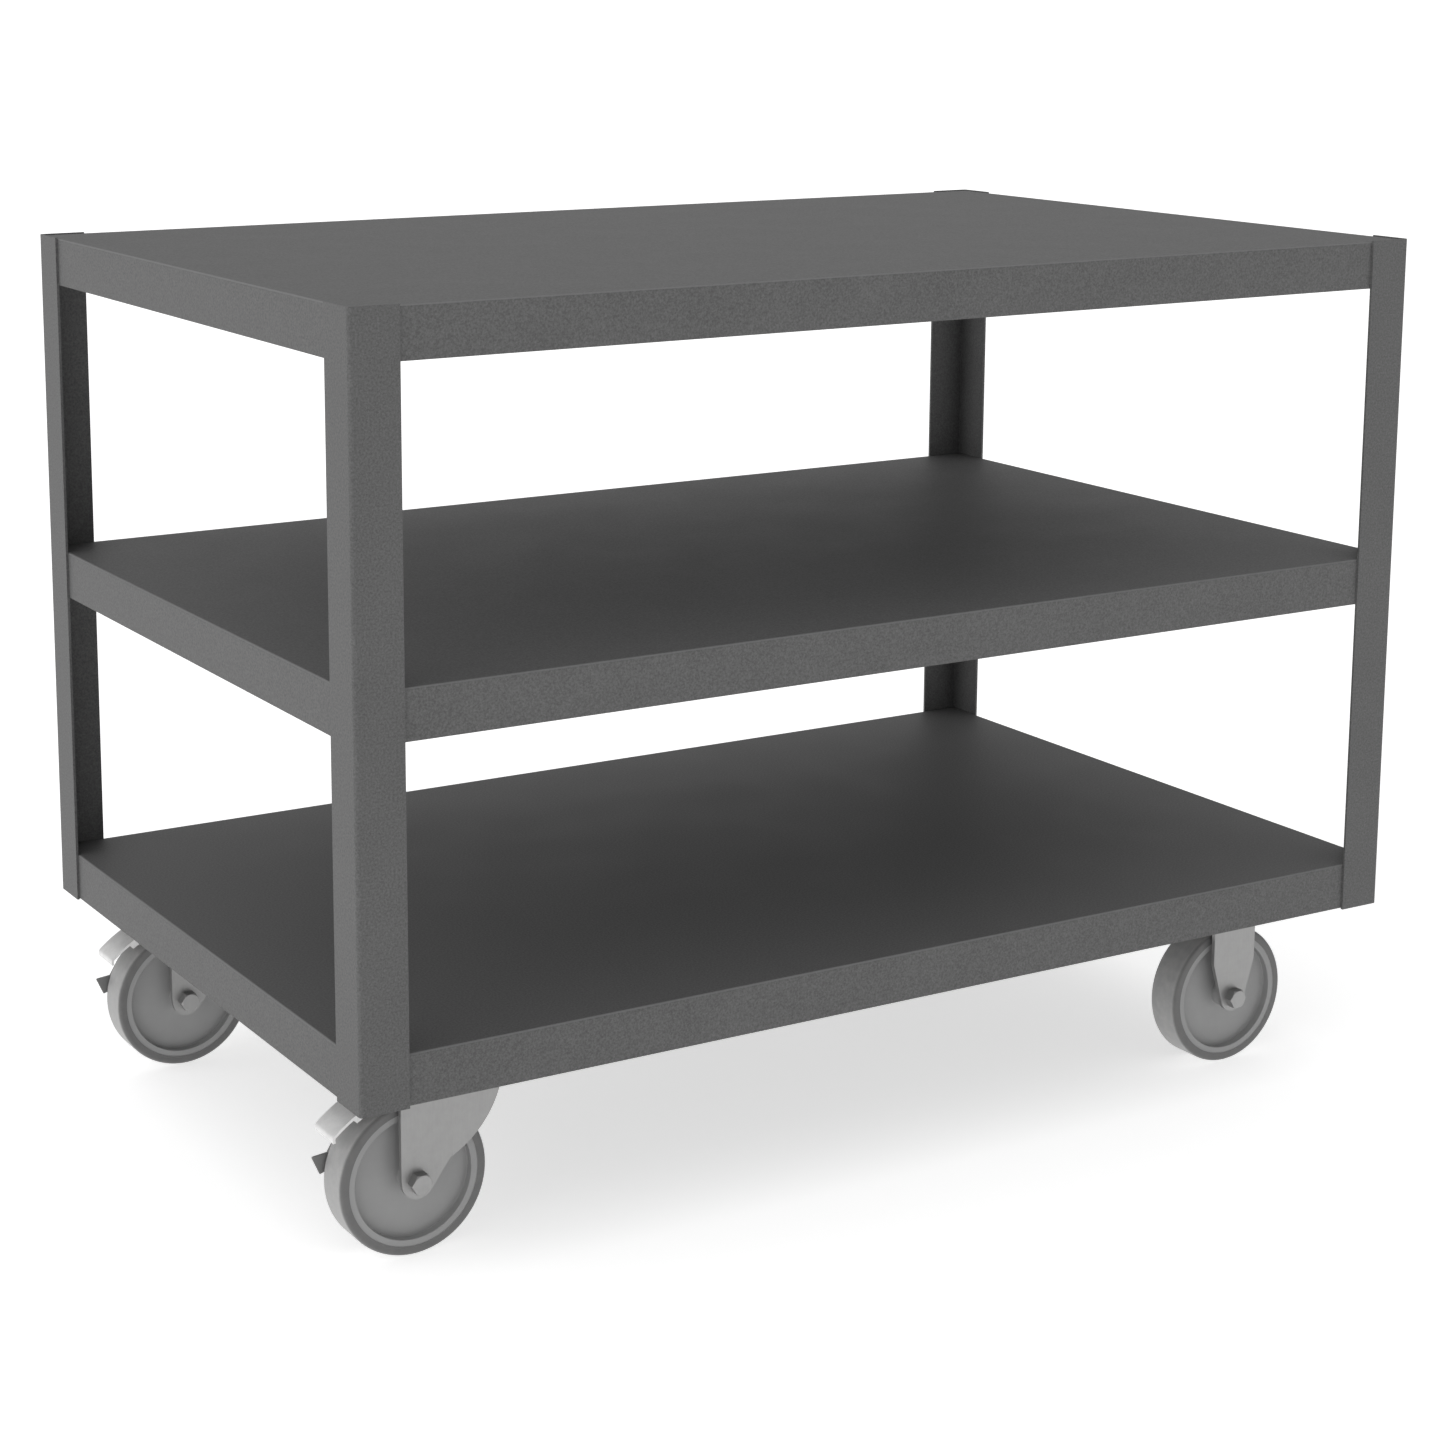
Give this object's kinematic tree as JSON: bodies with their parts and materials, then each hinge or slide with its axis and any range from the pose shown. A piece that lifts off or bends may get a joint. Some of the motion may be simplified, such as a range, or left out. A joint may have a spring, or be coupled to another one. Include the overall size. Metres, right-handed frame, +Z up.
{
  "type": "rolling utility cart",
  "caption": "All-welded steel utility cart with flat lipped shelves between angle posts, on braked swivel casters at one end and rigid casters at the other.",
  "frame": {"origin": "floor level under the middle of the cart", "axes": "+X along the length towards the rigid casters, +Y across the width, +Z up"},
  "size_m": [1.2224, 0.7684, 0.9072],
  "materials": {
    "grey_powder_coat": "fine-textured dark grey powder coat",
    "zinc_plate": "satin zinc plating",
    "brake_steel": "bright zinc plating",
    "zinc_fastener": "bright zinc plating",
    "bearing_steel": "ground steel",
    "wheel_plastic": "moulded grey plastic",
    "grey_tyre": "smooth grey non-marking rubber"
  },
  "bodies": {
    "frame": {"post_front_left": "grey_powder_coat", "post_front_right": "grey_powder_coat", "post_back_left": "grey_powder_coat", "post_back_right": "grey_powder_coat", "shelf_top": "grey_powder_coat", "shelf_middle": "grey_powder_coat", "shelf_bottom": "grey_powder_coat", "caster_channel_left": "grey_powder_coat", "caster_channel_right": "grey_powder_coat", "weld_beads": "grey_powder_coat", "caster_bolts": "zinc_fastener", "caster_nuts": "zinc_fastener", "swivel_plate_front_left": "zinc_plate", "kingpin_front_left": "zinc_fastener", "kingpin_nut_front_left": "zinc_fastener", "race_cap_front_left": "zinc_plate", "swivel_plate_back_left": "zinc_plate", "kingpin_back_left": "zinc_fastener", "kingpin_nut_back_left": "zinc_fastener", "race_cap_back_left": "zinc_plate", "rigid_fork_front_right": "zinc_plate", "axle_bolt_front_right": "zinc_fastener", "axle_nut_front_right": "zinc_fastener", "axle_sleeve_front_right": "zinc_fastener", "rigid_fork_back_right": "zinc_plate", "axle_bolt_back_right": "zinc_fastener", "axle_nut_back_right": "zinc_fastener", "axle_sleeve_back_right": "zinc_fastener"},
    "swivel_front_left": {"swivel_fork_front_left": "zinc_plate", "upper_balls_front_left": "bearing_steel", "lower_balls_front_left": "bearing_steel", "axle_bolt_front_left": "zinc_fastener", "axle_nut_front_left": "zinc_fastener", "axle_sleeve_front_left": "zinc_fastener", "brake_pin_front_left": "zinc_fastener", "brake_spring_front_left": "bearing_steel"},
    "brake_front_left": {"brake_pedal_front_left": "brake_steel"},
    "wheel_front_left": {"wheel_core_front_left": "wheel_plastic", "tyre_front_left": "grey_tyre", "wheel_bearing_front_left": "bearing_steel"},
    "swivel_back_left": {"swivel_fork_back_left": "zinc_plate", "upper_balls_back_left": "bearing_steel", "lower_balls_back_left": "bearing_steel", "axle_bolt_back_left": "zinc_fastener", "axle_nut_back_left": "zinc_fastener", "axle_sleeve_back_left": "zinc_fastener", "brake_pin_back_left": "zinc_fastener", "brake_spring_back_left": "bearing_steel"},
    "brake_back_left": {"brake_pedal_back_left": "brake_steel"},
    "wheel_back_left": {"wheel_core_back_left": "wheel_plastic", "tyre_back_left": "grey_tyre", "wheel_bearing_back_left": "bearing_steel"},
    "wheel_front_right": {"wheel_core_front_right": "wheel_plastic", "tyre_front_right": "grey_tyre", "wheel_bearing_front_right": "bearing_steel"},
    "wheel_back_right": {"wheel_core_back_right": "wheel_plastic", "tyre_back_right": "grey_tyre", "wheel_bearing_back_right": "bearing_steel"}
  },
  "joints": [
    {"name": "front_left_swivel", "type": "hinge", "parent": "frame", "child": "swivel_front_left", "pos_m": [-0.477, -0.2823, 0.17], "axis": [0, 0, 1], "continuous": true},
    {"name": "front_left_wheel_spin", "type": "hinge", "parent": "swivel_front_left", "child": "wheel_front_left", "pos_m": [-0.5183, -0.2823, 0.0762], "axis": [0, 1, 0], "continuous": true},
    {"name": "front_left_brake", "type": "hinge", "parent": "swivel_front_left", "child": "brake_front_left", "pos_m": [-0.5283, -0.2823, 0.1614], "axis": [0, -1, 0], "range_deg": [0, 9]},
    {"name": "back_left_swivel", "type": "hinge", "parent": "frame", "child": "swivel_back_left", "pos_m": [-0.477, 0.2823, 0.17], "axis": [0, 0, 1], "continuous": true},
    {"name": "back_left_wheel_spin", "type": "hinge", "parent": "swivel_back_left", "child": "wheel_back_left", "pos_m": [-0.5183, 0.2823, 0.0762], "axis": [0, 1, 0], "continuous": true},
    {"name": "back_left_brake", "type": "hinge", "parent": "swivel_back_left", "child": "brake_back_left", "pos_m": [-0.5283, 0.2823, 0.1614], "axis": [0, -1, 0], "range_deg": [0, 9]},
    {"name": "front_right_wheel_spin", "type": "hinge", "parent": "frame", "child": "wheel_front_right", "pos_m": [0.477, -0.2823, 0.0762], "axis": [0, 1, 0], "continuous": true},
    {"name": "back_right_wheel_spin", "type": "hinge", "parent": "frame", "child": "wheel_back_right", "pos_m": [0.477, 0.2823, 0.0762], "axis": [0, 1, 0], "continuous": true}
  ]
}
